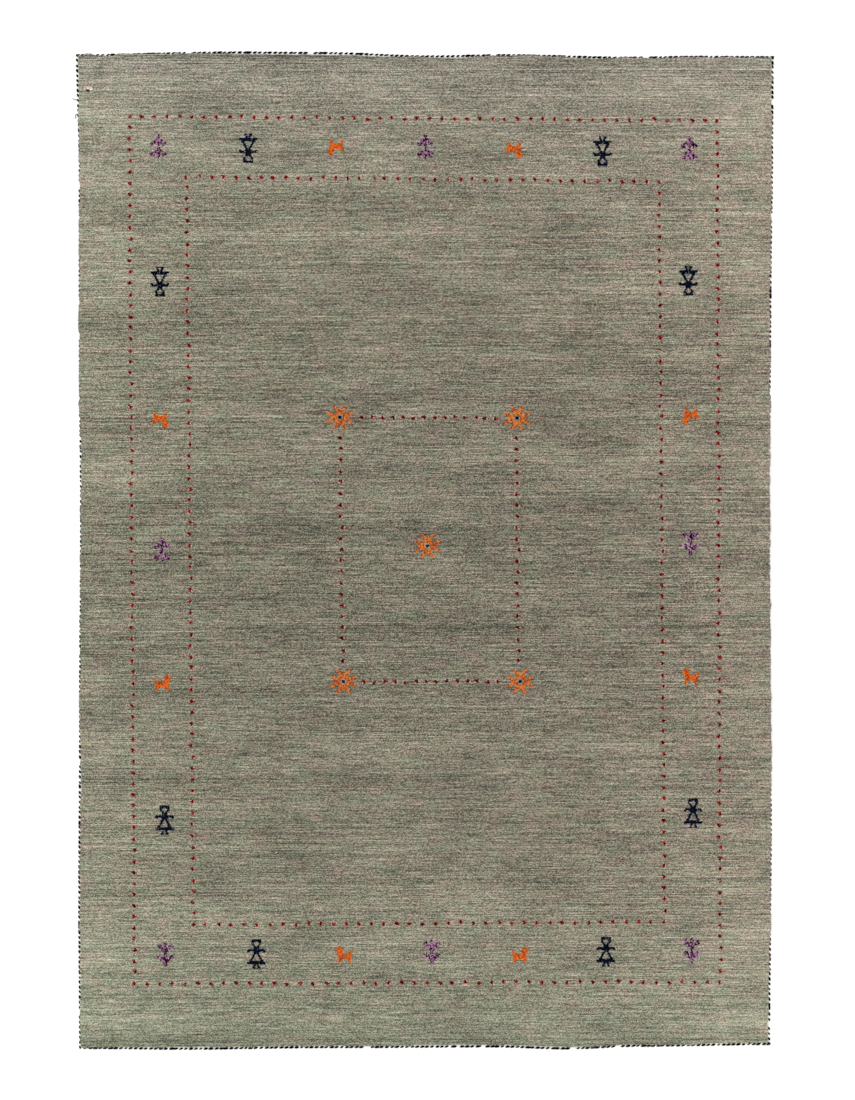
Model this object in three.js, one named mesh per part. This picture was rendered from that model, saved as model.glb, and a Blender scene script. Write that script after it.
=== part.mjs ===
// A hand-knotted wool rug of the gabbeh kind, lying flat: the knotted field and its four bound edges.
import * as THREE from "three";

// Driving sizes in millimetres. X is the rug's width, Y its length, and Z is up from the floor.
const RUG_WIDTH = 1600;
const RUG_LENGTH = 2300;
const PILE_TOP = 12;
const CORD_WIDTH = 8;
const CORD_HEIGHT = 6.5;
const PIECE_GAP = 0.3;

// How finely each surface is cut
const FIELD_CELL = 52;
const CORD_STEP = 60;
const CORD_FACETS = 10;

const HALF_WIDTH = RUG_WIDTH / 2;
const HALF_LENGTH = RUG_LENGTH / 2;
const FIELD_INSET = CORD_WIDTH + PIECE_GAP;
const { clamp, degToRad, lerp, smoothstep } = THREE.MathUtils;

// How far the woven edges run outside their straight lines, in millimetres.
// at: place along the edge, -1 at the left or lower corner and 1 at the right or upper one.
const LEFT_EDGE = [
  { at: -1, out: -1.4 },
  { at: -0.7, out: 0.5 },
  { at: -0.3, out: -1.4 },
  { at: 0.06, out: -3.7 },
  { at: 0.45, out: -0.4 },
  { at: 0.78, out: -0.4 },
  { at: 1, out: 5.8 },
];
const RIGHT_EDGE = [
  { at: -1, out: -0.8 },
  { at: -0.75, out: 1.2 },
  { at: -0.58, out: 3 },
  { at: -0.2, out: 0 },
  { at: 0.1, out: -2.5 },
  { at: 0.32, out: 0.4 },
  { at: 0.55, out: 2.4 },
  { at: 0.8, out: 6 },
  { at: 1, out: 7.2 },
];
const UPPER_EDGE = [
  { at: -1, out: -3.2 },
  { at: -0.55, out: 3.2 },
  { at: -0.29, out: 1.8 },
  { at: 0.02, out: -6 },
  { at: 0.23, out: -3.2 },
  { at: 0.58, out: -9 },
  { at: 0.8, out: -7 },
  { at: 1, out: -8 },
];
const LOWER_EDGE = [
  { at: -1, out: 2.8 },
  { at: -0.7, out: 4.8 },
  { at: -0.3, out: 1.2 },
  { at: 0.2, out: -0.6 },
  { at: 0.41, out: 4 },
  { at: 0.62, out: -2.2 },
  { at: 1, out: -6 },
];

// How the pile rounds up from the bound edge: up at each distance in from the field's own edge
const PILE_SHOULDER = [
  { inward: 0, up: 5 },
  { inward: 2, up: 8.5 },
  { inward: 6, up: 10.8 },
  { inward: 14, up: PILE_TOP },
];

// Soft waves of the pile, as it lies on a floor
const PILE_WAVES = [
  { across: 460, along: 620, turn: 0.4, high: 0.35 },
  { across: 270, along: 330, turn: 2.1, high: 0.25 },
  { across: 700, along: 240, turn: 4.4, high: 0.2 },
];

function outAt(edge, at) {
  const place = clamp(at, -1, 1);
  const next = Math.max(1, edge.findIndex((row) => row.at >= place));
  const from = edge[next - 1];
  const to = edge[next];
  return lerp(from.out, to.out, smoothstep(place, from.at, to.at));
}

// Takes a point of the perfect rectangle to its place on the uneven rug.
function laid(x, y, z) {
  const across = x / HALF_WIDTH;
  const along = y / HALF_LENGTH;
  const dx = lerp(-outAt(LEFT_EDGE, along), outAt(RIGHT_EDGE, along), (across + 1) / 2);
  const dy = lerp(-outAt(LOWER_EDGE, across), outAt(UPPER_EDGE, across), (along + 1) / 2);
  return new THREE.Vector3(x + dx, y + dy, z);
}

function pileWave(x, y) {
  return PILE_WAVES.reduce((sum, wave) => {
    const sideways = Math.sin((2 * Math.PI * x) / wave.across + wave.turn);
    const lengthways = Math.cos((2 * Math.PI * y) / wave.along + wave.turn);
    return sum + wave.high * sideways * lengthways;
  }, 0);
}

function pileHeight(x, y) {
  const inward = Math.min(HALF_WIDTH - Math.abs(x), HALF_LENGTH - Math.abs(y)) - FIELD_INSET;
  const last = PILE_SHOULDER.length - 1;
  const top = PILE_SHOULDER[last];
  if (inward >= top.inward) return top.up + pileWave(x, y);
  const next = Math.max(1, PILE_SHOULDER.findIndex((row) => row.inward > inward));
  const from = PILE_SHOULDER[next - 1];
  const to = PILE_SHOULDER[next];
  const share = (inward - from.inward) / (to.inward - from.inward);
  return lerp(from.up, to.up, share) + (pileWave(x, y) * inward) / top.inward;
}

// Grid lines across half a rug: close together on the pile's shoulder, then evenly spaced.
function gridLines(half) {
  const edge = half - FIELD_INSET;
  const shoulder = PILE_SHOULDER.map((row) => edge - row.inward);
  const flat = shoulder.at(-1);
  const cells = Math.round((2 * flat) / FIELD_CELL);
  const inner = Array.from({ length: cells - 1 }, (_, i) => lerp(-flat, flat, (i + 1) / cells));
  return [...shoulder.map((x) => -x), ...inner, ...shoulder.reverse()];
}

function geometryOf(points, faces) {
  const geometry = new THREE.BufferGeometry().setFromPoints(points);
  geometry.setIndex(faces.flat());
  geometry.computeVertexNormals();
  return geometry;
}

// The knotted field: a slab with a flat back and a softly uneven pile that rounds down at its rim.
function fieldGeometry() {
  const xs = gridLines(HALF_WIDTH);
  const ys = gridLines(HALF_LENGTH);
  const points = ys.flatMap((y) => xs.map((x) => laid(x, y, pileHeight(x, y))));
  const top = (column, row) => row * xs.length + column;
  const faces = [];
  for (let row = 0; row + 1 < ys.length; row++)
    for (let column = 0; column + 1 < xs.length; column++) {
      const [a, b] = [top(column, row), top(column + 1, row)];
      const [c, d] = [top(column + 1, row + 1), top(column, row + 1)];
      faces.push([a, b, c], [a, c, d]);
    }

  const rim = rimOf(xs.length, ys.length).map(([column, row]) => top(column, row));
  const firstBack = points.length;
  points.push(...rim.map((i) => points[i].clone().setZ(0)));
  const centre = points.push(new THREE.Vector3()) - 1;
  rim.forEach((upper, i) => {
    const onward = (i + 1) % rim.length;
    const lower = firstBack + i;
    const nextLower = firstBack + onward;
    faces.push([upper, lower, nextLower], [upper, nextLower, rim[onward]], [nextLower, lower, centre]);
  });
  return geometryOf(points, faces);
}

// The grid places round the rim, anticlockwise seen from above
function rimOf(columns, rows) {
  const lastColumn = columns - 1;
  const lastRow = rows - 1;
  const count = (length) => Array.from({ length }, (_, i) => i);
  return [
    ...count(lastColumn).map((i) => [i, 0]),
    ...count(lastRow).map((i) => [lastColumn, i]),
    ...count(lastColumn).map((i) => [lastColumn - i, lastRow]),
    ...count(lastRow).map((i) => [0, lastRow - i]),
  ];
}

// The bound edge in section: a plump oval that is flat where it lies on the floor.
// inward is from the rug's outer edge, and the points run from the outer foot over the top.
function cordSection() {
  const foot = degToRad(-35);
  const upRadius = CORD_HEIGHT / (1 - Math.sin(foot));
  return Array.from({ length: CORD_FACETS + 1 }, (_, i) => {
    const turn = lerp(foot, Math.PI - foot, i / CORD_FACETS);
    return {
      inward: (CORD_WIDTH / 2) * (1 - Math.cos(turn)),
      up: upRadius * (Math.sin(turn) - Math.sin(foot)),
    };
  });
}

// One bound edge between two mitred corners. place turns a distance along the edge, a distance
// inward and a height into a point; the outer edge has half length reach.
function cordGeometry(reach, place) {
  const section = cordSection();
  const steps = Math.round((2 * reach) / CORD_STEP);
  const mitreGap = PIECE_GAP / Math.SQRT2;
  const points = [];
  for (let step = 0; step <= steps; step++)
    for (const { inward, up } of section) {
      const end = reach - inward - mitreGap;
      points.push(place(lerp(-end, end, step / steps), inward, up));
    }

  const count = section.length;
  const faces = [];
  for (let step = 0; step < steps; step++)
    for (let side = 0; side < count; side++) {
      const [a, b] = [step * count + side, step * count + ((side + 1) % count)];
      faces.push([a, b + count, b], [a, a + count, b + count]);
    }
  const lastRing = steps * count;
  for (let side = 1; side + 1 < count; side++)
    faces.push([0, side, side + 1], [lastRing, lastRing + side + 1, lastRing + side]);
  return geometryOf(points, faces);
}

const WOOL = { color: 0x837e6e, roughness: 0.95, metalness: 0 };
const BOUND_COTTON = { color: 0xc9c7be, roughness: 0.9, metalness: 0 };

const EDGES = [
  { name: "binding_left", reach: HALF_LENGTH, place: (s, inward, up) => laid(inward - HALF_WIDTH, -s, up) },
  { name: "binding_right", reach: HALF_LENGTH, place: (s, inward, up) => laid(HALF_WIDTH - inward, s, up) },
  { name: "binding_upper", reach: HALF_WIDTH, place: (s, inward, up) => laid(-s, HALF_LENGTH - inward, up) },
  { name: "binding_lower", reach: HALF_WIDTH, place: (s, inward, up) => laid(s, inward - HALF_LENGTH, up) },
];

function named(name, geometry, look) {
  const mesh = new THREE.Mesh(geometry, new THREE.MeshStandardMaterial(look));
  mesh.name = name;
  return mesh;
}

const rug = new THREE.Group();
rug.add(named("rug_field", fieldGeometry(), WOOL));
for (const { name, reach, place } of EDGES)
  rug.add(named(name, cordGeometry(reach, place), BOUND_COTTON));

export default rug;
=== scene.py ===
"""A hand-knotted gabbeh rug lying flat: its wool pile, the coloured knots in it, and four overcast edges.

Lengths are in metres unless a name says millimetres. X runs across the rug, Y along it, Z up.
"""
import math

import bpy
import numpy as np
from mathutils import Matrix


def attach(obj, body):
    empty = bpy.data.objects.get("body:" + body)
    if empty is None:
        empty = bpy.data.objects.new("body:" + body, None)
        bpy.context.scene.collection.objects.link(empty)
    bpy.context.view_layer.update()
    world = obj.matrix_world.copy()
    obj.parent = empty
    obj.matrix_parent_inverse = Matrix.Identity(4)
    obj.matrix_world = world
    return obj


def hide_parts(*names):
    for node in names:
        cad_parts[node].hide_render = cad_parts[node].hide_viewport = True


MM = 0.001
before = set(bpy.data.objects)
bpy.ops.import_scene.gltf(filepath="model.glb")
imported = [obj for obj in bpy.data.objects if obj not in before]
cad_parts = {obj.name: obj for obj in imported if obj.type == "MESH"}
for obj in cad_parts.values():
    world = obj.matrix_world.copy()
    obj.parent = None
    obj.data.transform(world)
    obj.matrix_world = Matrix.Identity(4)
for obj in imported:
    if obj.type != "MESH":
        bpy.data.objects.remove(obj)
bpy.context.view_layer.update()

# The rug's driving sizes, as in the solids
RUG_WIDTH = 1.6
RUG_LENGTH = 2.3
HALF_WIDTH = RUG_WIDTH / 2
HALF_LENGTH = RUG_LENGTH / 2
CORD_WIDTH = 8 * MM
PIECE_GAP = 0.3 * MM
FIELD_INSET = CORD_WIDTH + PIECE_GAP
KNOT = 2.5 * MM

# The view: straight down on the pile, with the rug a little left of the middle
VIEW_HEIGHT = 2.539
VIEW_CENTRE = (7 * MM, 0.5 * MM)
LENS_MM = 100
SENSOR_MM = 36

# How far each edge runs outside its straight line, in millimetres.
# at: place along the edge, -1 at the left or lower corner and 1 at the right or upper one.
EDGE_WANDER = {
    "left": {"at": [-1, -0.7, -0.3, 0.06, 0.45, 0.78, 1], "out": [-1.4, 0.5, -1.4, -3.7, -0.4, -0.4, 5.8]},
    "right": {
        "at": [-1, -0.75, -0.58, -0.2, 0.1, 0.32, 0.55, 0.8, 1],
        "out": [-0.8, 1.2, 3, 0, -2.5, 0.4, 2.4, 6, 7.2],
    },
    "upper": {
        "at": [-1, -0.55, -0.29, 0.02, 0.23, 0.58, 0.8, 1],
        "out": [-3.2, 3.2, 1.8, -6, -3.2, -9, -7, -8],
    },
    "lower": {"at": [-1, -0.7, -0.3, 0.2, 0.41, 0.62, 1], "out": [2.8, 4.8, 1.2, -0.6, 4, -2.2, -6]},
}

# How much of the bound edge the pile leans over and hides, from 0 to 1, along each edge
PILE_COVER = {
    "left": {
        "at": [-1, -0.6, -0.45, -0.32, -0.22, 0, 0.1, 0.2, 0.3, 0.8, 0.88, 0.93, 1],
        "cover": [0.4, 0.35, 0.2, 0.65, 0.4, 0.72, 0.6, 0.4, 0.7, 0.68, 0.5, 0.2, 0.15],
    },
    "right": {
        "at": [-1, -0.85, -0.75, -0.6, -0.5, -0.4, 0.1, 0.28, 0.33, 0.38, 0.5, 0.6, 0.75, 0.85, 1],
        "cover": [0.1, 0.35, 0.7, 0.5, 0.6, 0.85, 0.9, 0.85, 0.5, 0.6, 0.45, 0.55, 0.45, 0.4, 0.35],
    },
    "upper": {
        "at": [
            -1, -0.96, -0.94, -0.9, -0.88, -0.7, -0.6, -0.5, -0.25,
            -0.13, -0.05, 0.1, 0.25, 0.35, 0.45, 0.55, 1,
        ],
        "cover": [0.4, 0.8, 0.35, 0.35, 0.7, 0.5, 0.3, 0, 0, 0, 0.3, 0.15, 0.5, 0.55, 0.2, 0.5, 0.35],
    },
    "lower": {
        "at": [-1, -0.8, -0.65, -0.5, -0.35, -0.15, -0.05, 0.05, 0.15, 0.35, 0.5, 0.75, 0.85, 1],
        "cover": [0.35, 0.2, 0, 0.15, 0.2, 0.25, 0.2, 0, 0.1, 0.05, 0.2, 0.4, 0.1, 0.2],
    },
}

# The pile's rise from the field's own edge, in millimetres
PILE_SHOULDER = {"inward": [0, 2, 6, 14], "up": [5, 8.5, 10.8, 12]}

# Soft waves of the pile, in millimetres, as in the solids
PILE_WAVES = [
    {"across": 460, "along": 620, "turn": 0.4, "high": 0.35},
    {"across": 270, "along": 330, "turn": 2.1, "high": 0.25},
    {"across": 700, "along": 240, "turn": 4.4, "high": 0.2},
]


# Places on the rug

def eased(place, at, values):
    """Reads a table at each place, easing from one row to the next."""
    at, values = np.asarray(at, float), np.asarray(values, float)
    after = np.clip(np.searchsorted(at, place), 1, len(at) - 1)
    share = np.clip((place - at[after - 1]) / (at[after] - at[after - 1]), 0, 1)
    share = share * share * (3 - 2 * share)
    return values[after - 1] + (values[after] - values[after - 1]) * share


def laid(x, y):
    """Takes places on the perfect rectangle to their places on the uneven rug."""
    across, along = x / HALF_WIDTH, y / HALF_LENGTH
    out = {
        side: eased(along if side in ("left", "right") else across, row["at"], row["out"]) * MM
        for side, row in EDGE_WANDER.items()
    }
    dx = -out["left"] + (out["right"] + out["left"]) * (across + 1) / 2
    dy = -out["lower"] + (out["upper"] + out["lower"]) * (along + 1) / 2
    return x + dx, y + dy


def pile_height(x, y):
    """How high the pile stands above the floor, without its fine relief."""
    wave = sum(
        w["high"]
        * np.sin(2 * math.pi * x / (w["across"] * MM) + w["turn"])
        * np.cos(2 * math.pi * y / (w["along"] * MM) + w["turn"])
        for w in PILE_WAVES
    )
    inward = (np.minimum(HALF_WIDTH - abs(x), HALF_LENGTH - abs(y)) - FIELD_INSET) / MM
    rise = np.interp(inward, PILE_SHOULDER["inward"], PILE_SHOULDER["up"])
    settled = np.clip(inward / PILE_SHOULDER["inward"][-1], 0, 1)
    return (rise + wave * settled) * MM


# Meshes

def shown(name, points, faces, material, slot):
    """Makes a mesh object from its points and faces, gives it its material and has it ride on the root body.
    """
    mesh = bpy.data.meshes.new(name)
    mesh.from_pydata(np.asarray(points).tolist(), [], [tuple(face) for face in faces])
    mesh.update()
    mesh.materials.append(material)
    piece = bpy.data.objects.new(name, mesh)
    bpy.context.scene.collection.objects.link(piece)
    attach(piece, "root")
    return piece


def smooth(piece):
    """Shades a piece as one smooth surface."""
    piece.data.shade_smooth()
    return piece


def tube_faces(rings, sides, start=0):
    """Faces of a closed tube whose rings of points follow one another, with a cap at each end."""
    ring, side = np.meshgrid(np.arange(rings - 1), np.arange(sides), indexing="ij")
    a = ring * sides + side
    b = ring * sides + (side + 1) % sides
    quads = np.stack([a, a + sides, b + sides, b], axis=-1).reshape(-1, 4) + start
    first = np.arange(sides) + start
    last = first[::-1] + (rings - 1) * sides
    return [*quads.tolist(), first.tolist(), last.tolist()]


# The pile

PILE_COLUMNS = 126
PILE_ROWS = 762
ROW_RELIEF = 0.28 * MM
TUFT_RELIEF = 0.22 * MM
LONG_RELIEF = 0.2 * MM
ROW_SPAN = 4
TUFT_SPAN = 1
LONG_SPAN = 20
BACK_LIFT = 0.3 * MM

# The relief fades in between these heights of the pile, in millimetres
RELIEF_FROM = 8
RELIEF_FULL = 12


def grid_lines(half, count):
    """Lines across the field: at the shoulder's own steps near each edge, and evenly between."""
    shoulder = half - FIELD_INSET - np.array(PILE_SHOULDER["inward"]) * MM
    inner = np.linspace(-shoulder[-1], shoulder[-1], count - 2 * len(shoulder) + 2)
    return np.concatenate([-shoulder[:-1], inner, shoulder[-2::-1]])


def row_noise(rng, rows, columns, span):
    """Random numbers for a grid, each row on its own, eased across span columns."""
    knots = rng.normal(size=(rows, columns // span + 2))
    place = np.arange(columns) / span
    left = place.astype(int)
    return knots[:, left] * (1 - (place - left)) + knots[:, left + 1] * (place - left)


def pile_mesh(rng):
    """A closed slab with a flat back, whose top has the relief of its rows of cut tufts."""
    xs, ys = grid_lines(HALF_WIDTH, PILE_COLUMNS), grid_lines(HALF_LENGTH, PILE_ROWS)
    x, y = np.meshgrid(xs, ys)
    z = pile_height(x, y)
    relief = (
        ROW_RELIEF * row_noise(rng, len(ys), len(xs), ROW_SPAN)
        + TUFT_RELIEF * row_noise(rng, len(ys), len(xs), TUFT_SPAN)
        + LONG_RELIEF * row_noise(rng, len(ys), len(xs), LONG_SPAN)
    )
    z = z + relief * np.clip((z / MM - RELIEF_FROM) / (RELIEF_FULL - RELIEF_FROM), 0, 1)
    px, py = laid(x, y)
    top = np.stack([px, py, z], axis=-1).reshape(-1, 3)

    rows, columns = z.shape
    row, column = np.meshgrid(np.arange(rows - 1), np.arange(columns - 1), indexing="ij")
    a = (row * columns + column).ravel()
    faces = np.stack([a, a + 1, a + columns + 1, a + columns], axis=-1).tolist()

    # The walls go down from the rim, and the back is one long face for each row
    south = np.arange(columns)
    east = np.arange(1, rows) * columns + columns - 1
    north = (rows - 1) * columns + np.arange(columns - 2, -1, -1)
    west = np.arange(rows - 2, 0, -1) * columns
    rim = np.concatenate([south, east, north, west])
    below = {int(v): len(top) + i for i, v in enumerate(rim)}
    back = top[rim] * [1, 1, 0] + [0, 0, BACK_LIFT]
    faces += [
        [int(u), below[int(u)], below[int(v)], int(v)] for u, v in zip(rim, np.roll(rim, -1), strict=True)
    ]
    for r in range(rows - 1):
        left, right = r * columns, r * columns + columns - 1
        next_left, next_right = left + columns, right + columns
        lower = [*range(left, right + 1)] if r == 0 else [left, right]
        upper = [*range(next_right, next_left - 1, -1)] if r == rows - 2 else [next_right, next_left]
        faces.append([below[v] for v in reversed([*lower, *upper])])
    return np.concatenate([top, back]), faces


# The four edges, each walked anticlockwise round the rug seen from above

SIDES = {
    "lower": {"reach": HALF_WIDTH, "turned": 1, "place": lambda s, inward: laid(s, inward - HALF_LENGTH)},
    "right": {"reach": HALF_LENGTH, "turned": 1, "place": lambda s, inward: laid(HALF_WIDTH - inward, s)},
    "upper": {"reach": HALF_WIDTH, "turned": -1, "place": lambda s, inward: laid(-s, HALF_LENGTH - inward)},
    "left": {"reach": HALF_LENGTH, "turned": -1, "place": lambda s, inward: laid(inward - HALF_WIDTH, -s)},
}


def edge_points(side, s, inward, up):
    """Points at distance s along an edge, a distance inward from its outer line, and a height."""
    px, py = SIDES[side]["place"](s, inward)
    return np.stack(np.broadcast_arrays(px, py, up), axis=-1)


def cover_at(side, s):
    """How much of the bound edge the pile hides at distance s along it."""
    row = PILE_COVER[side]
    along = SIDES[side]["turned"] * np.clip(s / SIDES[side]["reach"], -1, 1)
    return eased(along, row["at"], row["cover"])


# The rim of the pile: the outermost tufts, which lean over the bound edge

RIM_STEP = 1.8 * MM
RIM_FACETS = 8
RIM_ROOT = 14 * MM
RIM_CLEAR = 8.4 * MM
RIM_LEAN = 9.2 * MM
RIM_LOW = 7.2 * MM
RIM_HIGH = 11.2 * MM
LOCK_STEPS = 8
LOCK_REACH = 1.1 * MM
TUFT_REACH = 0.5 * MM
RIM_ROUGH = 0.3 * MM


def rim_mesh(side, rng):
    """The outermost tufts of a side as one rough roll, whose locks lean out by as much as its cover says."""
    reach = SIDES[side]["reach"]
    steps = int(2 * reach / RIM_STEP)
    share = np.linspace(-1, 1, steps)[:, None]
    turn = np.linspace(0, 2 * math.pi, RIM_FACETS, endpoint=False)[None, :]
    cover = cover_at(side, share * reach)
    locks = LOCK_REACH * row_noise(rng, 1, steps, LOCK_STEPS).T + TUFT_REACH * rng.normal(size=(steps, 1))
    outer = RIM_CLEAR - RIM_LEAN * cover - locks + RIM_ROUGH * rng.normal(size=(steps, RIM_FACETS))
    middle = (RIM_ROOT + outer) / 2
    inward = middle - (RIM_ROOT - outer) / 2 * np.cos(turn)
    lift = RIM_ROUGH * rng.normal(size=(steps, 1))
    up = (RIM_LOW + RIM_HIGH) / 2 + (RIM_HIGH - RIM_LOW) / 2 * np.sin(turn) + lift
    s = share * (reach - inward)
    return edge_points(side, s, inward, up).reshape(-1, 3), tube_faces(steps, RIM_FACETS)


# The bound edge: a plied cotton core, overcast with dark yarn. Its section is in millimetres, and it is
# round as far in from its middle as CORE_ROUND.

CORE_STEP = 1.6 * MM
CORE_ROUND = 3
CORE_ROUGH = 0.02
CORE_MIDDLE = (4.0, 2.4)
CORE_INWARD = [2.2, 1.6, 1.7, 2.7, 4.0, 5.4, 6.6, 7.9, 7.9]
CORE_UP = [0, 1.2, 3.0, 4.5, 5.0, 4.6, 3.9, 3.6, 0]
PLY_TURN = 16 * MM
PLY_DEPTH = 0.1
PLIES = 3


def core_mesh(side, rng):
    """The edge's cord: round outside, with a low web that joins it to the field."""
    reach = SIDES[side]["reach"]
    steps = int(2 * reach / CORE_STEP)
    share = np.linspace(-1, 1, steps)[:, None]
    across = np.array(CORE_INWARD) - CORE_MIDDLE[0]
    rise = np.array(CORE_UP) - CORE_MIDDLE[1]
    twist = np.cos(PLIES * np.arctan2(rise, across) + 2 * math.pi * share * reach / PLY_TURN)
    swell = 1 + PLY_DEPTH * twist + CORE_ROUGH * rng.normal(size=(steps, 1))
    inward = (CORE_MIDDLE[0] + across * np.where(across < CORE_ROUND, swell, 1)) * MM
    up = np.maximum(CORE_MIDDLE[1] + rise * swell, 0) * MM
    up[:, [0, -1]] = 0
    s = share * (reach - inward - PIECE_GAP)
    return edge_points(side, s, inward, up).reshape(-1, 3), tube_faces(steps, len(across))


# The overcast stitches: each goes up the outside of the cord, runs slanting along its top and dives in.
# Its route: share of its lean along the edge, then millimetres inward and up.

STITCH_ALONG = np.array([-0.5, -0.5, -0.47, -0.33, -0.12, 0.12, 0.33, 0.47, 0.5, 0.5])
STITCH_INWARD = np.array([1.6, 0.9, 1.1, 1.8, 2.6, 3.3, 3.9, 4.5, 5.0, 5.2])
STITCH_UP = np.array([0.8, 2.2, 3.8, 5.1, 5.6, 5.8, 5.8, 5.4, 4.6, 3.4])
STITCH_TAPER = np.array([0.6, 0.85, 1, 1, 1, 1, 1, 1, 0.9, 0.5])[:, None]
STITCH_FACETS = 8
YARN_HALF_WIDTH = 2.9 * MM
YARN_HALF_DEPTH = 1.1 * MM
STITCH_PITCH = 11.5 * MM
STITCH_LEAN = {"upper": 5.4 * MM, "lower": 5.2 * MM, "left": 3 * MM, "right": 3 * MM}
STITCH_LOWEST = 0.1 * MM
CORNER_CLEAR = 4 * MM

# The shares of stitches that are doubled or skipped, how far on a doubled one's second sits, and how
# much the others stray, all as shares of a stitch
DOUBLED = 0.05
SKIPPED = 0.03
SECOND_ON = 0.3
PITCH_STRAY = 0.06
LEAN_STRAY = 0.2
YARN_STRAY = 0.16
YARN_THINNEST = 0.6
YARN_THICKEST = 1.3


def stitch_places(side, rng):
    """Where each stitch of an edge sits, how far it leans along the edge and how thick its yarn is."""
    reach = SIDES[side]["reach"] - CORNER_CLEAR
    count = int(2 * reach / STITCH_PITCH)
    s = np.linspace(-reach, reach, count) + rng.normal(size=count) * PITCH_STRAY * STITCH_PITCH
    s = s[rng.random(count) > SKIPPED]
    again = s[rng.random(len(s)) < DOUBLED] + SECOND_ON * STITCH_PITCH
    s = np.clip(np.sort(np.concatenate([s, again])), -reach, reach)
    lean = STITCH_LEAN[side] * (1 + LEAN_STRAY * rng.normal(size=len(s)))
    thick = np.clip(1 + YARN_STRAY * rng.normal(size=len(s)), YARN_THINNEST, YARN_THICKEST)
    return zip(s, lean, thick, strict=True)


def stitch_mesh(side, rng):
    """Every stitch of an edge as a short flattened tube of yarn."""
    around = np.linspace(0, 2 * math.pi, STITCH_FACETS, endpoint=False)[:, None]
    rings = len(STITCH_ALONG)
    outward = np.stack([0 * STITCH_ALONG, STITCH_INWARD - CORE_MIDDLE[0], STITCH_UP - CORE_MIDDLE[1]], axis=1)
    outward /= np.linalg.norm(outward, axis=1, keepdims=True)
    points, faces = [], []
    for at, lean, thick in stitch_places(side, rng):
        route = np.stack([at + lean * STITCH_ALONG, STITCH_INWARD * MM, STITCH_UP * MM], axis=1)
        sideways = np.cross(np.gradient(route, axis=0), outward)
        sideways /= np.linalg.norm(sideways, axis=1, keepdims=True)
        wide = YARN_HALF_WIDTH * np.cos(around) * sideways[:, None]
        deep = YARN_HALF_DEPTH * np.sin(around) * outward[:, None]
        ring = route[:, None] + (wide + deep) * thick * STITCH_TAPER[:, None]
        faces += tube_faces(rings, STITCH_FACETS, len(points) * rings * STITCH_FACETS)
        heights = np.maximum(ring[..., 2], STITCH_LOWEST)
        points.append(edge_points(side, ring[..., 0], ring[..., 1], heights).reshape(-1, 3))
    return np.concatenate(points), faces


# Ends of the dark yarn that stick out past an edge: four guide points each, in millimetres
# along the edge, inward and up

LOOSE_ENDS = {
    "left": [
        [(-1043, 2, 5.5), (-1044, -5, 5), (-1045, -9, 2), (-1049, -9.5, 1)],
        [(-1006, 2, 5.5), (-1014, -4, 5), (-1010, -5, 1), (-1001, -4.5, 1)],
    ],
}
LOOSE_STEPS = 12
LOOSE_RADIUS = 0.7 * MM


def loose_mesh():
    """Every loose end as a thin curved tube, from inside a stitch to the air beyond the edge."""
    share = np.linspace(0, 1, LOOSE_STEPS)[:, None]
    around = np.linspace(0, 2 * math.pi, STITCH_FACETS, endpoint=False)[:, None]
    points, faces = [], []
    for side, routes in LOOSE_ENDS.items():
        for guides in routes:
            start, leaving, arriving, tip = np.array(guides) * MM
            rest = 1 - share
            route = rest**3 * start + 3 * share * rest**2 * leaving
            route = route + 3 * share**2 * rest * arriving + share**3 * tip
            onward = np.gradient(route, axis=0)
            sideways = np.cross(onward, (0, 0, 1))
            sideways /= np.linalg.norm(sideways, axis=1, keepdims=True)
            above = np.cross(sideways, onward)
            above /= np.linalg.norm(above, axis=1, keepdims=True)
            ring = np.cos(around) * sideways[:, None] + np.sin(around) * above[:, None]
            ring = route[:, None] + LOOSE_RADIUS * ring
            faces += tube_faces(LOOSE_STEPS, STITCH_FACETS, len(points) * LOOSE_STEPS * STITCH_FACETS)
            points.append(edge_points(side, ring[..., 0], ring[..., 1], ring[..., 2]).reshape(-1, 3))
    return np.concatenate(points), faces


# The design: drawn charts of knots, one letter for each coloured knot

FIGURE = """
....#########....
....#########....
....###...###....
....##.....##....
....##.....##....
.....##...##.....
......##.##......
......#####......
......#####......
.###############.
#################
##...#######...##
......#####......
......##.##......
.....##...##.....
.....##...##.....
....##.....##....
....##.....##....
...##.......##...
..###.......###..
..#############..
#################
#################
......##.##......
......##.##......
.....##...##.....
.....###.###.....
"""
GOAT = """
..###...........
.#####..........
######..........
######........o.
.#####.......oo.
.#####......#oo.
..#############.
..#############.
..############..
..############..
..############..
..###......###..
..##o......o##..
..oo........oo..
..oo........oo..
"""
TREE = """
.......#.......
..#...###...#..
.###..###..###.
####..###..####
#####.###.#####
.####.###.####.
...#########...
....#######....
.....#####.....
......###......
......###......
.......#.......
.###..###..###.
####..###..####
#####.###.#####
.#############.
...#########...
....#######....
.....#####.....
......###......
......###......
......###......
.......#.......
"""
STAR = """
......###.......###......
......####.....####......
.......####...####.......
........#########........
.........#######.........
.##.....#########.....##.
#####...#########...#####
..#####.#########.#####..
...########ooo########...
....######o@@@o######....
....######o@@@o######....
....######o@@@o######....
...########ooo########...
..#####.#########.#####..
#####...#########...#####
.##.....#########.....##.
.........#######.........
........#########........
.......####...####.......
......####.....####......
......###.......###......
"""
# A loose white tuft of wool. The @ knots below it are painted shadow: dark maroon knots where the tuft casts
# its shade
FLECK_AND_SHADOW = """
....oooo.
oo..ooooo
...@@@oo.
...@@@...
"""
STRAY = """
ooo
"""
DOTS = ["o##o #### .##o", "###o #### o##.", "o##. ###o o##o", "###o o### .##o", "o##o ###o o##."]
SMALL_DOTS = ["o##o. o#### .##oo", ".###o ####o oo##.", "o##. ####o o###o", "o##o .####o oo##."]

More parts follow.
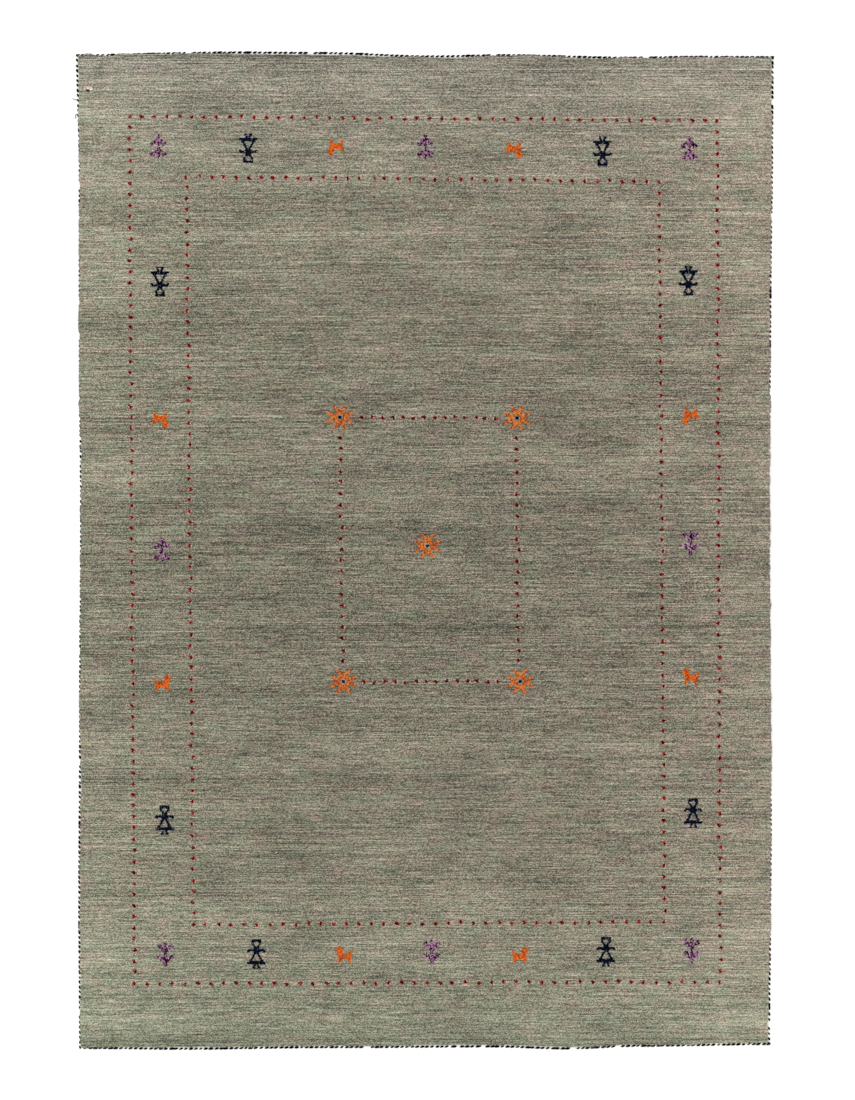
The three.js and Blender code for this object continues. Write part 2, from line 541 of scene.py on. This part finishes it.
# The wool of each chart's letters
MOTIFS = {
    "figure": {"chart": FIGURE, "#": "blue"},
    "goat": {"chart": GOAT, "#": "orange", "o": "tangerine"},
    "tree": {"chart": TREE, "#": "purple"},
    "star": {"chart": STAR, "#": "tangerine", "o": "pale", "@": "blue"},
    # In the loose white tuft's chart, @ is painted shadow in dark maroon wool
    "fleck_and_shadow": {"chart": FLECK_AND_SHADOW, "o": "white", "@": "maroon"},
    "stray": {"chart": STRAY, "o": "tangerine"},
    "dot": {"charts": DOTS, "#": "red", "o": "rose"},
    "small_dot": {"charts": SMALL_DOTS, "#": "maroon", "o": "rose"},
}

# Where each motif's middle lies, in millimetres from the rug's. down: -1 for one that is upside down.
# facing: -1 for one that is mirrored.
PLACES = [
    {"kind": "tree", "x": -614, "y": 932, "down": -1, "facing": 1},
    {"kind": "figure", "x": -407, "y": 928, "down": -1, "facing": 1},
    {"kind": "goat", "x": -204, "y": 930, "down": -1, "facing": 1},
    {"kind": "tree", "x": 2, "y": 932, "down": -1, "facing": 1},
    {"kind": "goat", "x": 207, "y": 924, "down": -1, "facing": -1},
    {"kind": "figure", "x": 411, "y": 921, "down": -1, "facing": -1},
    {"kind": "tree", "x": 611, "y": 927, "down": -1, "facing": 1},
    {"kind": "figure", "x": -611, "y": 620, "down": -1, "facing": 1},
    {"kind": "goat", "x": -610, "y": 301, "down": -1, "facing": -1},
    {"kind": "tree", "x": -605, "y": 2, "down": -1, "facing": 1},
    {"kind": "goat", "x": -605, "y": -307, "down": 1, "facing": -1},
    {"kind": "figure", "x": -600, "y": -623, "down": 1, "facing": 1},
    {"kind": "figure", "x": 609, "y": 622, "down": -1, "facing": -1},
    {"kind": "goat", "x": 615, "y": 310, "down": -1, "facing": 1},
    {"kind": "tree", "x": 614, "y": 16, "down": 1, "facing": 1},
    {"kind": "goat", "x": 616, "y": -292, "down": 1, "facing": 1},
    {"kind": "figure", "x": 620, "y": -607, "down": 1, "facing": -1},
    {"kind": "tree", "x": -598, "y": -933, "down": 1, "facing": 1},
    {"kind": "figure", "x": -388, "y": -932, "down": 1, "facing": 1},
    {"kind": "goat", "x": -184, "y": -934, "down": 1, "facing": 1},
    {"kind": "tree", "x": 17, "y": -928, "down": 1, "facing": -1},
    {"kind": "goat", "x": 220, "y": -935, "down": 1, "facing": -1},
    {"kind": "figure", "x": 419, "y": -927, "down": 1, "facing": -1},
    {"kind": "tree", "x": 617, "y": -924, "down": 1, "facing": -1},
    {"kind": "star", "x": -195, "y": 307, "down": -1, "facing": 1},
    {"kind": "star", "x": 214, "y": 305, "down": -1, "facing": 1},
    {"kind": "star", "x": 7, "y": 10, "down": 1, "facing": 1},
    {"kind": "star", "x": -187, "y": -303, "down": 1, "facing": 1},
    {"kind": "star", "x": 221, "y": -303, "down": 1, "facing": 1},
    {"kind": "fleck_and_shadow", "x": -777, "y": 1064, "down": 1, "facing": 1},
    {"kind": "stray", "x": 269, "y": 303, "down": 1, "facing": 1},
]

# Rows of dots from one place to another, in millimetres, both ends counted
DOT_ROWS = [
    {"kind": "dot", "from": (-681, 1001), "to": (676, 992), "count": 48},
    {"kind": "dot", "from": (-669, -1001), "to": (683, -996), "count": 47},
    {"kind": "dot", "from": (-681, 975), "to": (-669, -975), "count": 77},
    {"kind": "dot", "from": (676, 966), "to": (683, -970), "count": 76},
    {"kind": "dot", "from": (-549, 862), "to": (542, 851), "count": 39},
    {"kind": "dot", "from": (-533, -865), "to": (554, -858), "count": 38},
    {"kind": "dot", "from": (-549, 836), "to": (-533, -839), "count": 66},
    {"kind": "dot", "from": (542, 825), "to": (554, -832), "count": 65},
    {"kind": "small_dot", "from": (-145, 307), "to": (165, 305), "count": 14},
    {"kind": "small_dot", "from": (-138, -303), "to": (170, -303), "count": 14},
    {"kind": "small_dot", "from": (-194, 260), "to": (-190, -256), "count": 21},
    {"kind": "small_dot", "from": (212, 258), "to": (217, -256), "count": 21},
]

# The share of knots that have worn away, and how far a dot strays from its row
WORN = 0.03
DOT_WANDER = 1.2 * MM


def chart_knots(chart, wools, rng):
    """The knots of a chart as rows of wool, x and y in metres from its middle, a few of them missing."""
    rows = chart.split()
    found = []
    for r, row in enumerate(rows):
        for c, letter in enumerate(row):
            if letter in wools and rng.random() >= WORN:
                x = (c - (len(row) - 1) / 2) * KNOT
                y = ((len(rows) - 1) / 2 - r) * KNOT
                found.append((wools[letter], x, y))
    return found


def all_knots(rng):
    """Every coloured knot of the design, as lists of places, one list for each wool."""
    knots = {}

    def tie(motif, chart, x, y, down=1, facing=1):
        for wool, dx, dy in chart_knots(chart, motif, rng):
            knots.setdefault(wool, []).append((x + facing * dx, y + down * dy))

    for row in PLACES:
        motif = MOTIFS[row["kind"]]
        tie(motif, motif["chart"], row["x"] * MM, row["y"] * MM, row["down"], row["facing"])
    for row in DOT_ROWS:
        motif = MOTIFS[row["kind"]]
        start, end = np.array(row["from"]) * MM, np.array(row["to"]) * MM
        for share in np.linspace(0, 1, row["count"]):
            x, y = start + (end - start) * share + rng.normal(size=2) * DOT_WANDER
            tie(motif, rng.choice(motif["charts"]), x, y)
    return knots


# A cut tuft: how much wider it is than its knot, how far it stands proud, and its size up its height
TUFT_WIDE = 1.22
TUFT_PROUD = 1 * MM
TUFT_BACK = 0.1 * MM
TUFT_SHOULDER = 0.8 * MM
TUFT_SIZES = {"foot": 0.9, "shoulder": 1, "crown": 0.7}
TUFT_CORNERS = np.array([(-1, -1), (1, -1), (1, 1), (-1, 1)])

# How much tufts stray from their places, sizes and heights, the first and last in millimetres
TUFT_STRAY = 0.3
TUFT_SIZE_STRAY = 0.1
CROWN_STRAY = 0.2


def tuft_mesh(places, rng):
    """One cut tuft for each knot, from the back of the rug up to just above the pile round it."""
    count = len(places)
    places = np.array(places) + rng.normal(size=(count, 2)) * TUFT_STRAY * MM
    half = KNOT / 2 * TUFT_WIDE * (1 + TUFT_SIZE_STRAY * rng.normal(size=(count, 2)))
    stray = rng.normal(size=count) * CROWN_STRAY * MM
    crown = pile_height(places[:, 0], places[:, 1]) + TUFT_PROUD + stray
    heights = {"foot": np.full(count, TUFT_BACK), "shoulder": crown - TUFT_SHOULDER, "crown": crown}
    rings = []
    for part, size in TUFT_SIZES.items():
        flat = places[:, None] + TUFT_CORNERS * half[:, None] * size
        rings.append(np.dstack([flat, np.broadcast_to(heights[part][:, None], flat.shape[:2])]))
    points = np.stack(rings, axis=1).reshape(-1, 3)
    tuft = [face[::-1] for face in tube_faces(len(rings), len(TUFT_CORNERS))]
    corners = len(rings) * len(TUFT_CORNERS)
    return points, [[v + start for v in face] for start in range(0, len(points), corners) for face in tuft]


# Materials

def linear(colour):
    """A colour of 0 to 255 values as the linear light that Blender uses."""
    c = np.array(colour) / 255
    return tuple(np.where(c <= 0.04045, c / 12.92, ((c + 0.055) / 1.055) ** 2.4)) + (1.0,)


# How rows and cells are varied: how far a row of knots wanders and over what lengths, how unlike the next
# row's noise is, how far each row of cells is out of step, how woolly a cell's edge is, and how much
# of the next row's value is taken off
WANDER_ROWS = 1.8
WANDER_SIZE = (0.16, 0.05)
ROW_UNLIKE = 17.31
CELL_STAGGER = 0.618
CELL_WOBBLE = 1.5
# Where it sets a shade, the share taken off is painted shade, cast by the next row's tufts
NEXT_ROW_SHARE = 0.2
SHEEN_ROUGHNESS = 0.6


class Look:
    """A material being made from nodes, with short calls for the steps that these share."""

    def __init__(self, name, roughness=0.95, sheen=0.0, specular=0.02):
        self.material = bpy.data.materials.new(name)
        self.material.use_nodes = True
        self.tree = self.material.node_tree
        self.shader = self.tree.nodes["Principled BSDF"]
        self.shader.inputs["Roughness"].default_value = roughness
        self.shader.inputs["Specular IOR Level"].default_value = specular
        self.shader.inputs["Sheen Weight"].default_value = sheen
        self.shader.inputs["Sheen Roughness"].default_value = SHEEN_ROUGHNESS
        place = self.tree.nodes.new("ShaderNodeTexCoord").outputs["Object"]
        self.x, self.y = self.add("ShaderNodeSeparateXYZ", {"Vector": place}).outputs[:2]

    def add(self, kind, inputs, **settings):
        """A new node, each of its inputs joined to a socket or set to a value."""
        node = self.tree.nodes.new(kind)
        for key, value in settings.items():
            setattr(node, key, value)
        for key, value in inputs.items():
            if isinstance(value, bpy.types.NodeSocket):
                self.tree.links.new(value, node.inputs[key])
            else:
                node.inputs[key].default_value = value
        return node

    def math(self, operation, a, b=0.0):
        """The result of one step of arithmetic."""
        return self.add("ShaderNodeMath", {0: a, 1: b}, operation=operation).outputs[0]

    def times(self, a, b):
        """One value times another."""
        return self.math("MULTIPLY", a, b)

    def at_least(self, value, least):
        """A value, or the least it may be."""
        return self.math("MAXIMUM", value, least)

    def clamped(self, value):
        """A value kept from 0 to 1."""
        return self.math("MINIMUM", self.at_least(value, 0.0), 1.0)

    def sum(self, *terms):
        """All the terms added up."""
        total = terms[0]
        for term in terms[1:]:
            total = self.math("ADD", total, term)
        return total

    def point(self, x, y, z=0.0):
        """A point, or a grey, from its three numbers."""
        return self.add("ShaderNodeCombineXYZ", {"X": x, "Y": y, "Z": z}).outputs[0]

    def scaled(self, value, length):
        """A value as a multiple of a length."""
        return self.math("DIVIDE", value, length)

    def noise(self, across, along, detail=0.0, shift=0.0):
        """Soft noise about 0, with blotches of about the given lengths."""
        at = self.point(self.scaled(self.x, across), self.scaled(self.y, along), shift)
        made = self.add("ShaderNodeTexNoise", {"Vector": at, "Scale": 1.0, "Detail": detail})
        return self.math("SUBTRACT", made.outputs[0], 0.5)

    def beside(self, value, index):
        """A value of one row, less a share of the next row's: each light row has a dark one beside it. Where
        this sets the wool's shade, that dark row is painted shade, as cast by the next row's tufts.
        """
        here = value(index)
        following = value(self.math("ADD", index, 1.0))
        return self.math("SUBTRACT", here, self.times(following, NEXT_ROW_SHARE))

    def rows(self, row, across, shift=0.0):
        """Noise about 0 that runs along each row of knots on its own."""
        wander = self.times(self.noise(*WANDER_SIZE, shift=shift + 3.1), WANDER_ROWS * row)
        index = self.math("FLOOR", self.scaled(self.math("ADD", self.y, wander), row))

        def value(index):
            at = self.point(self.scaled(self.x, across), self.times(index, ROW_UNLIKE), shift)
            made = self.add("ShaderNodeTexNoise", {"Vector": at, "Scale": 1.0, "Detail": 0.0})
            return self.math("SUBTRACT", made.outputs[0], 0.5)

        return self.beside(value, index)

    def ragged(self, place, cell, shift):
        """A place moved a little by fine noise, so that the cells made from it have woolly edges."""
        wobble = self.times(self.noise(cell / 2, cell / 2, shift=shift), CELL_WOBBLE * cell)
        return self.math("ADD", place, wobble)

    def speckle(self, cell, shift=0.0):
        """A random number about 0 for each small cell of the surface, its rows out of step."""
        x, y = self.ragged(self.x, cell, shift + 4.7), self.ragged(self.y, cell, shift + 6.3)
        index = self.math("FLOOR", self.scaled(y, cell))

        def value(index):
            stagger = self.times(index, CELL_STAGGER)
            across = self.math("FLOOR", self.sum(self.scaled(x, cell), stagger, shift))
            made = self.add("ShaderNodeTexWhiteNoise", {"Vector": self.point(across, index)})
            return self.math("SUBTRACT", made.outputs[0], 0.5)

        return self.beside(value, index)

    def mix(self, share, a, b):
        """A colour between two. Inputs 6 and 7 and output 2 are the node's colour sockets."""
        node = self.add("ShaderNodeMix", {"Factor": share}, data_type="RGBA")
        for socket, colour in ((node.inputs[6], a), (node.inputs[7], b)):
            if isinstance(colour, bpy.types.NodeSocket):
                self.tree.links.new(colour, socket)
            else:
                socket.default_value = colour
        return node.outputs[2]

    def lit(self, colour, factor):
        """A colour made lighter or darker by a factor."""
        grey = self.point(factor, factor, factor)
        node = self.add("ShaderNodeVectorMath", {1: grey}, operation="MULTIPLY")
        if isinstance(colour, bpy.types.NodeSocket):
            self.tree.links.new(colour, node.inputs[0])
        else:
            node.inputs[0].default_value = colour[:3]
        return node.outputs[0]

    def colour(self, socket):
        """Gives the surface its colour."""
        self.tree.links.new(socket, self.shader.inputs["Base Color"])

    def bump(self, height, depth, strength=0.6):
        """Gives the surface a fine relief."""
        node = self.add("ShaderNodeBump", {"Height": height, "Distance": depth, "Strength": strength})
        self.tree.links.new(node.outputs[0], self.shader.inputs["Normal"])


GREEN_GREY = linear((102, 105, 89))
ROSE_GREY = linear((115, 104, 93))
STRAW_GREY = linear((115, 110, 88))
UPPER_GREY = linear((109, 106, 99))

# Broad bands across the rug where the wool came from a paler or a darker lot: each one's middle and
# half width in millimetres, and how much lighter it is
WOOL_LOTS = [
    {"y": 650, "half": 100, "lift": 0.05},
    {"y": 200, "half": 100, "lift": 0.08},
    {"y": -200, "half": 100, "lift": -0.02},
    {"y": -450, "half": 50, "lift": 0.04},
    {"y": -900, "half": 100, "lift": 0.04},
]
LOTS_LEFTWARD = 0.4
END_STRIP = 50 * MM
END_DARKER = 0.12

# The wool's shade over the whole rug: how much lighter the ends, the sides and the right are, how late
# that comes on, its soft patches, and the shade in the middle
# The lighter ends and sides are partly painted light and partly the wool's own tone
END_LIGHTER = 0.19
END_ONSET = 1.7
SIDE_LIGHTER = 0.14
SIDE_ONSET = 3.2
RIGHT_LIGHTER = 0.01
# The soft patches are painted light, where the pile lies differently
PATCH_SIZE = (0.2, 0.07)
PATCH_SHADE = 0.3
MIDDLE_SHADE = 0.962

# Its hue, from green-grey at 0 to rose-grey at 1
HUE_SIZE = (45 * MM, 28 * MM)
HUE_SPREAD = 1.3
HUE_CELL = 5 * MM
HUE_SPECKLE = 0.25
LOWER_GREENER = 0.45
RIGHT_ROSIER = 0.12
MIDDLE_HUE = 0.5
END_HUE_ONSET = 6.0
UPPER_SHARE = 0.5
STRAW_SIZE = (24 * MM, 12 * MM)
STRAW_SPREAD = 2.0
STRAW_RARER = 0.2

# Its streaks: the size of a tuft, a row and a fibre, how far a run of shade goes along its row, and how
# strongly each shows
TUFT_CELL = 2.0 * MM
PILE_ROW = 2.3 * MM
SHORT_RUN = 45 * MM
LONG_RUN = 1.5
FIBRE_SIZE = (0.7 * MM, 0.5 * MM)
TUFT_SHADE = 0.83
SHORT_SHADE = 0.78
LONG_SHADE = 0.6
FIBRE_SHADE = 0.6
DARKEST = 0.2
CONTRAST = 2.2
WOOL_BUMP = 0.4 * MM

# The dyed knots' fine specks, and how far their tufts' shades spread between the two colours
KNOT_CELL = 1.2 * MM
KNOT_SPECKS = 0.5
KNOT_SPREAD = 2.4


def wool_lots(look):
    """How much lighter the wool is in its bands, which fade out from their middles and to the right."""
    lifts = []
    for lot in WOOL_LOTS:
        away = look.math("ABSOLUTE", look.math("SUBTRACT", look.y, lot["y"] * MM))
        fade = look.at_least(look.math("SUBTRACT", 1.0, look.scaled(away, lot["half"] * MM)), 0.0)
        lifts.append(look.times(fade, lot["lift"]))
    leftward = look.sum(look.times(look.x, -LOTS_LEFTWARD / HALF_WIDTH), 1.0)
    return look.times(look.sum(*lifts), leftward)


def end_strips(look):
    """The last strip at each end is darker, the more so the nearer the edge."""
    into = look.math("SUBTRACT", look.math("ABSOLUTE", look.y), HALF_LENGTH - END_STRIP)
    return look.times(look.at_least(into, 0.0), -END_DARKER / END_STRIP)


def slow_shade(look):
    """The wool is lighter towards the ends and the sides, partly as painted light, with soft patches of
    painted light, bands across it and darker end strips.
    """
    end = look.math("POWER", look.math("ABSOLUTE", look.scaled(look.y, HALF_LENGTH)), END_ONSET)
    side = look.math("POWER", look.math("ABSOLUTE", look.scaled(look.x, HALF_WIDTH)), SIDE_ONSET)
    patch = look.noise(*PATCH_SIZE, shift=5.0)
    return look.sum(
        look.times(end, END_LIGHTER),
        look.times(side, SIDE_LIGHTER),
        look.times(patch, PATCH_SHADE),
        look.scaled(look.x, HALF_WIDTH / RIGHT_LIGHTER),
        wool_lots(look),
        end_strips(look),
        MIDDLE_SHADE,
    )


def slow_hue(look):
    """Patches of green-grey and rose-grey, with more green at the lower end and on the left."""
    low_end = look.at_least(look.scaled(look.y, -HALF_LENGTH), 0.0)
    low_end = look.math("POWER", low_end, END_HUE_ONSET)
    return look.sum(
        look.times(look.noise(*HUE_SIZE, shift=2.0), HUE_SPREAD),
        look.times(look.speckle(HUE_CELL, shift=0.2), HUE_SPECKLE),
        look.times(low_end, -LOWER_GREENER),
        look.scaled(look.x, HALF_WIDTH / RIGHT_ROSIER),
        MIDDLE_HUE,
    )


def wool_pile():
    """Streaked undyed wool: each row of knots has its own run of shades, in soft patches of hue."""
    look = Look("wool_pile", sheen=0.05)
    fine = look.speckle(TUFT_CELL)
    middle = look.rows(PILE_ROW, SHORT_RUN, shift=8.0)
    long = look.rows(PILE_ROW, LONG_RUN, shift=14.0)
    fibre = look.noise(*FIBRE_SIZE, shift=11.0)
    shade = look.sum(
        look.times(fine, TUFT_SHADE),
        look.times(middle, SHORT_SHADE),
        look.times(long, LONG_SHADE),
        look.times(fibre, FIBRE_SHADE),
        slow_shade(look),
    )
    top_end = look.at_least(look.scaled(look.y, HALF_LENGTH), 0.0)
    top_end = look.math("POWER", top_end, END_HUE_ONSET)
    straw = look.times(look.noise(*STRAW_SIZE, shift=9.0), STRAW_SPREAD)
    straw = look.sum(straw, -STRAW_RARER)
    hue = look.clamped(slow_hue(look))
    base = look.mix(look.at_least(straw, 0.0), look.mix(hue, GREEN_GREY, ROSE_GREY), STRAW_GREY)
    base = look.mix(look.times(top_end, UPPER_SHARE), base, UPPER_GREY)
    look.colour(look.lit(base, look.math("POWER", look.at_least(shade, DARKEST), CONTRAST)))
    look.bump(look.sum(fine, middle, fibre), WOOL_BUMP)
    return look.material


def knot_wool(name, colour, second, mixed):
    """Dyed wool, each tuft of its own shade between two, with finer specks. mixed: the second's share."""
    look = Look(name)
    tuft = look.add("ShaderNodeNewGeometry", {}).outputs["Random Per Island"]
    fine = look.speckle(KNOT_CELL)
    share = look.times(look.math("SUBTRACT", tuft, 0.5), KNOT_SPREAD)
    share = look.clamped(look.math("ADD", share, mixed))
    base = look.mix(share, linear(colour), linear(second))
    look.colour(look.lit(base, look.sum(look.times(fine, KNOT_SPECKS), 1.0)))
    look.bump(fine, WOOL_BUMP)
    return look.material


COTTON_WHITE = linear((236, 234, 226))
COTTON_GRAIN = 1.4 * MM
COTTON_SHADE = 0.35
YARN_BLACK = linear((4, 5, 6))
YARN_BROWN = linear((26, 12, 16))
YARN_PATCH = 35 * MM
YARN_BROWNING = 3.0
YARN_BROWN_SHARE = 0.1
YARN_GRAIN = 0.8 * MM
EDGE_BUMP = 0.3 * MM


def cotton():
    """The cord's white cotton, a little uneven."""
    look = Look("edge_cotton", sheen=0.05)
    fine = look.noise(COTTON_GRAIN, COTTON_GRAIN, detail=2.0)
    look.colour(look.lit(COTTON_WHITE, look.sum(look.times(fine, COTTON_SHADE), 1.0)))
    look.bump(fine, EDGE_BUMP)
    return look.material


def stitch_yarn():
    """The near-black yarn of the stitches, browner in places."""
    look = Look("edge_stitch")
    tint = look.times(look.noise(YARN_PATCH, YARN_PATCH), YARN_BROWNING)
    tint = look.sum(tint, YARN_BROWN_SHARE)
    base = look.mix(look.at_least(tint, 0.0), YARN_BLACK, YARN_BROWN)
    fine = look.noise(YARN_GRAIN, YARN_GRAIN, detail=2.0)
    look.colour(look.lit(base, look.sum(fine, 1.0)))
    look.bump(fine, EDGE_BUMP)
    return look.material


# Each dyed wool: its two colours as 0 to 255 values, and the second one's share
WOOLS = {
    "blue": {"slot": "knots_blue", "colour": (0, 2, 8), "second": (9, 20, 47), "mixed": 0.4},
    "orange": {"slot": "knots_orange", "colour": (214, 100, 34), "second": (134, 60, 22), "mixed": 0.35},
    "tangerine": {"slot": "knots_orange", "colour": (200, 120, 56), "second": (136, 56, 28), "mixed": 0.4},
    "purple": {"slot": "knots_purple", "colour": (40, 0, 30), "second": (178, 128, 168), "mixed": 0.04},
    "red": {"slot": "knots_red", "colour": (50, 0, 2), "second": (130, 22, 22), "mixed": 0.4},
    "rose": {"slot": "knots_red", "colour": (196, 146, 132), "second": (150, 84, 74), "mixed": 0.4},
    "maroon": {"slot": "knots_maroon", "colour": (34, 5, 3), "second": (88, 24, 24), "mixed": 0.4},
    "pale": {"slot": "knots_pale", "colour": (148, 144, 138), "second": (112, 112, 110), "mixed": 0.4},
    "white": {"slot": "knots_pale", "colour": (238, 232, 216), "second": (196, 188, 168), "mixed": 0.4},
}


# The pieces

SEED = 23


def make_rug():
    """Makes every piece of the rug. The order of the pieces sets the random numbers that each one gets."""
    rng = np.random.default_rng(SEED)
    wool, dark, white = wool_pile(), stitch_yarn(), cotton()
    pile = smooth(shown("rug_pile", *pile_mesh(rng), wool, "wool_pile"))
    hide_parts("rug_field")
    for side in SIDES:
        core = smooth(shown(f"cord_{side}", *core_mesh(side, rng), white, "edge_cotton"))
        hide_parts(f"binding_{side}")
        smooth(shown(f"stitches_{side}", *stitch_mesh(side, rng), dark, "edge_stitch"))
        shown(f"pile_rim_{side}", *rim_mesh(side, rng), wool, "wool_pile")
    smooth(shown("loose_yarn_ends", *loose_mesh(), dark, "edge_stitch"))
    for wool_name, places in all_knots(rng).items():
        row = WOOLS[wool_name]
        material = knot_wool(f"wool_{wool_name}", row["colour"], row["second"], row["mixed"])
        shown(f"knots_{wool_name}", *tuft_mesh(places, rng), material, row["slot"])


# The floor, the light and the camera

FLOOR_SIZE = 60
FLOOR_WHITE = (0.95, 0.95, 0.95, 1)
FLOOR_ROUGHNESS = 0.9
FLOOR_SPECULAR = 0.1
SKY_STRENGTH = 1.15
LAMP_SIZE = 3.5
LAMP_POWER = 60
LAMP_PLACE = (-0.8, 0.8, 4.6)
FARTHEST_SEEN = 100


def make_floor():
    """A plain pale floor, which isn't part of the rug."""
    bpy.ops.mesh.primitive_plane_add(size=FLOOR_SIZE)
    floor = bpy.context.object
    floor.name = "floor"
    material = bpy.data.materials.new("pale_floor")
    material.use_nodes = True
    shader = material.node_tree.nodes["Principled BSDF"]
    shader.inputs["Base Color"].default_value = FLOOR_WHITE
    shader.inputs["Roughness"].default_value = FLOOR_ROUGHNESS
    shader.inputs["Specular IOR Level"].default_value = FLOOR_SPECULAR
    floor.data.materials.append(material)


def make_light():
    """An even white surround, and one large soft lamp above and to the left."""
    world = bpy.data.worlds.new("studio")
    bpy.context.scene.world = world
    world.use_nodes = True
    sky = world.node_tree.nodes["Background"]
    sky.inputs["Color"].default_value = (1, 1, 1, 1)
    sky.inputs["Strength"].default_value = SKY_STRENGTH
    lamp = bpy.data.lights.new("soft_box", "AREA")
    lamp.shape = "SQUARE"
    lamp.size = LAMP_SIZE
    lamp.energy = LAMP_POWER
    box = bpy.data.objects.new("soft_box", lamp)
    box.location = LAMP_PLACE
    box.rotation_euler = (-box.location).to_track_quat("-Z", "Y").to_euler()
    bpy.context.scene.collection.objects.link(box)


def make_camera():
    """A camera straight above, high enough for the frame to be VIEW_HEIGHT long on the pile."""
    data = bpy.data.cameras.new("camera")
    data.lens = LENS_MM
    data.sensor_width = SENSOR_MM
    camera = bpy.data.objects.new("camera", data)
    pile_top = PILE_SHOULDER["up"][-1] * MM
    camera.location = (*VIEW_CENTRE, pile_top + VIEW_HEIGHT * LENS_MM / SENSOR_MM)
    data.clip_end = FARTHEST_SEEN
    bpy.context.scene.collection.objects.link(camera)
    bpy.context.scene.camera = camera


make_camera()
make_light()
make_floor()
make_rug()
bpy.context.scene.view_settings.view_transform = "Standard"
